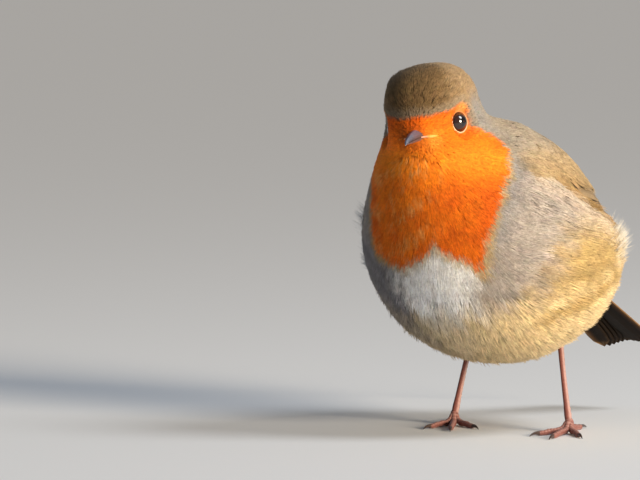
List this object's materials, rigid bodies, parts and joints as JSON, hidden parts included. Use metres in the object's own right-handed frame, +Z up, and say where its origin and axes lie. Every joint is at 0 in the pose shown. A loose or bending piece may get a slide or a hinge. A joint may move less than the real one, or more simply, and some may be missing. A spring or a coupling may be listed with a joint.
{
  "type": "robin",
  "caption": "Life-size still model of a small plump songbird, standing on both feet, head turned a little to its left, wings folded and tail lowered.",
  "frame": {"origin": "on the floor, under the middle of the bird's box", "axes": "+Z up, the bird faces -Y, its left side is +X"},
  "size_m": [0.0644, 0.1194, 0.1],
  "materials": {
    "crown_olive": "soft matt plumage",
    "breast_orange": "soft matt plumage",
    "belly_buff": "soft matt plumage",
    "wing_brown": "smooth satin feathers",
    "tail_brown": "smooth satin feathers",
    "bill_horn": "smooth dark horn",
    "leg_skin": "fine scaled skin, satin",
    "claw_horn": "dark horn",
    "eye_dark": "wet, glossy"
  },
  "bodies": {
    "root": {"head": "crown_olive", "neck": "breast_orange", "trunk": "belly_buff", "wing_left": "wing_brown", "wing_right": "wing_brown", "tail": "tail_brown", "bill_upper": "bill_horn", "bill_lower": "bill_horn", "eye_left": "eye_dark", "eye_right": "eye_dark", "shank_left": "leg_skin", "foot_left": "leg_skin", "toe_left_inner": "leg_skin", "claw_left_inner": "claw_horn", "toe_left_middle": "leg_skin", "claw_left_middle": "claw_horn", "toe_left_outer": "leg_skin", "claw_left_outer": "claw_horn", "toe_left_hind": "leg_skin", "claw_left_hind": "claw_horn", "shank_right": "leg_skin", "foot_right": "leg_skin", "toe_right_inner": "leg_skin", "claw_right_inner": "claw_horn", "toe_right_middle": "leg_skin", "claw_right_middle": "claw_horn", "toe_right_outer": "leg_skin", "claw_right_outer": "claw_horn", "toe_right_hind": "leg_skin", "claw_right_hind": "claw_horn"}
  },
  "joints": []
}
